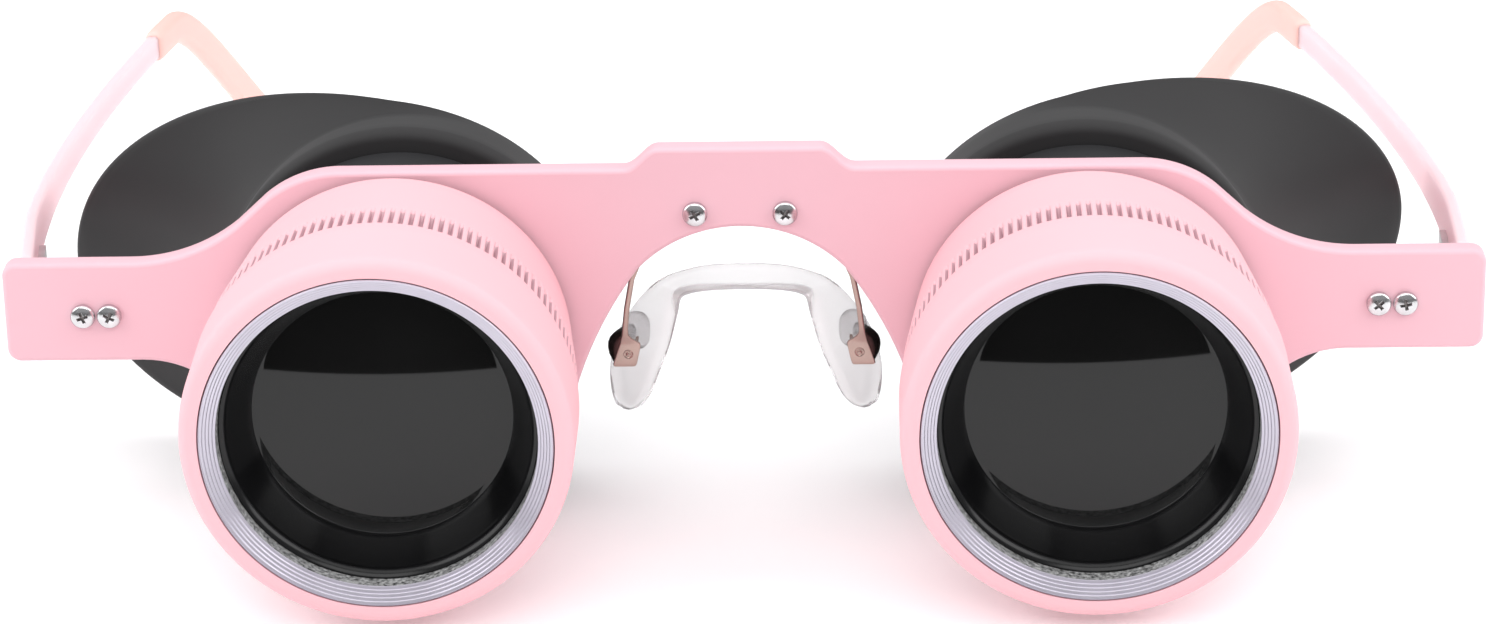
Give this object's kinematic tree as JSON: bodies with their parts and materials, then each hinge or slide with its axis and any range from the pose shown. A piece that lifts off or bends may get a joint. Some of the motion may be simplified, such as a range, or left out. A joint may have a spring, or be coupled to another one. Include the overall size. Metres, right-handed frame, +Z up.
{
  "type": "binocular glasses",
  "caption": "Hands-free binocular glasses: pink front plate with focusing barrels, black soft eyecups, folding arms with ear tips and a clear nose saddle.",
  "frame": {"origin": "centre of the bounding box in X and Y, at its bottom, the lowest point of the eyecups", "axes": "+X to the right as seen from the front, +Y from the barrels towards the wearer, +Z up"},
  "size_m": [0.172, 0.1504, 0.0478],
  "materials": {
    "plate_pink": "gloss",
    "barrel_pink": "satin",
    "ring_bright": "turned, bright",
    "black_plastic": "matt",
    "lens_glass": "coated",
    "eyecup_rubber": "matt silicone",
    "arm_pink": "translucent",
    "tip_peach": "soft, translucent",
    "bracket_metal": "warm plated",
    "saddle_clear": "clear silicone",
    "hinge_steel": "plain",
    "screw_chrome": "polished"
  },
  "bodies": {
    "frame": {"front_plate": "plate_pink", "bridge_screws": "screw_chrome", "hinge_screws": "screw_chrome", "nose_bracket": "bracket_metal", "nose_pad": "saddle_clear", "nose_pad_screws": "screw_chrome", "left_body_tube": "black_plastic", "left_eyepiece_housing": "black_plastic", "left_eyepiece_lens": "lens_glass", "left_eyepiece_ring": "black_plastic", "left_hinge_plate": "hinge_steel", "left_hinge_pin": "hinge_steel", "right_body_tube": "black_plastic", "right_eyepiece_housing": "black_plastic", "right_eyepiece_lens": "lens_glass", "right_eyepiece_ring": "black_plastic", "right_hinge_plate": "hinge_steel", "right_hinge_pin": "hinge_steel"},
    "left_objective": {"left_objective_tube": "black_plastic", "left_objective_lens": "lens_glass", "left_lens_cone": "black_plastic", "left_lens_ring": "ring_bright"},
    "left_barrel": {"left_focus_barrel": "barrel_pink", "left_snap_ring": "hinge_steel"},
    "left_cup": {"left_eyecup": "eyecup_rubber"},
    "left_arm": {"left_temple_arm": "arm_pink", "left_temple_leaf": "hinge_steel", "left_leaf_screws": "screw_chrome", "left_temple_tip": "tip_peach"},
    "right_objective": {"right_objective_tube": "black_plastic", "right_objective_lens": "lens_glass", "right_lens_cone": "black_plastic", "right_lens_ring": "ring_bright"},
    "right_barrel": {"right_focus_barrel": "barrel_pink", "right_snap_ring": "hinge_steel"},
    "right_cup": {"right_eyecup": "eyecup_rubber"},
    "right_arm": {"right_temple_arm": "arm_pink", "right_temple_leaf": "hinge_steel", "right_leaf_screws": "screw_chrome", "right_temple_tip": "tip_peach"}
  },
  "joints": [
    {"name": "left_focus_travel", "type": "slide", "parent": "frame", "child": "left_objective", "axis": [0, -1, 0], "range_m": [-0.0008, 0.004]},
    {"name": "left_focus_turn", "type": "hinge", "parent": "left_objective", "child": "left_barrel", "pos_m": [-0.04, -0.0639, 0.02388], "axis": [0, -1, 0], "range_deg": [-50, 250]},
    {"name": "left_cup_turn", "type": "hinge", "parent": "frame", "child": "left_cup", "pos_m": [-0.04, -0.0327, 0.02388], "axis": [0, 1, 0], "range_deg": [-60, 60]},
    {"name": "left_arm_fold", "type": "hinge", "parent": "frame", "child": "left_arm", "pos_m": [-0.0809, -0.0386, 0.02688], "axis": [0, 0, -1], "range_deg": [-4, 68], "deforming": ["left_eyecup"]},
    {"name": "right_focus_travel", "type": "slide", "parent": "frame", "child": "right_objective", "axis": [0, -1, 0], "range_m": [-0.0008, 0.004]},
    {"name": "right_focus_turn", "type": "hinge", "parent": "right_objective", "child": "right_barrel", "pos_m": [0.04, -0.0639, 0.02388], "axis": [0, -1, 0], "range_deg": [-50, 250]},
    {"name": "right_cup_turn", "type": "hinge", "parent": "frame", "child": "right_cup", "pos_m": [0.04, -0.0327, 0.02388], "axis": [0, 1, 0], "range_deg": [-60, 60]},
    {"name": "right_arm_fold", "type": "hinge", "parent": "frame", "child": "right_arm", "pos_m": [0.0809, -0.0386, 0.02688], "axis": [0, 0, 1], "range_deg": [-9, 47], "deforming": ["right_eyecup"]}
  ],
  "couplings": [
    {"joint": "left_focus_travel", "follows": "left_focus_turn", "m_per_rad": 0.0009167},
    {"joint": "right_focus_travel", "follows": "right_focus_turn", "m_per_rad": 0.0009167}
  ]
}
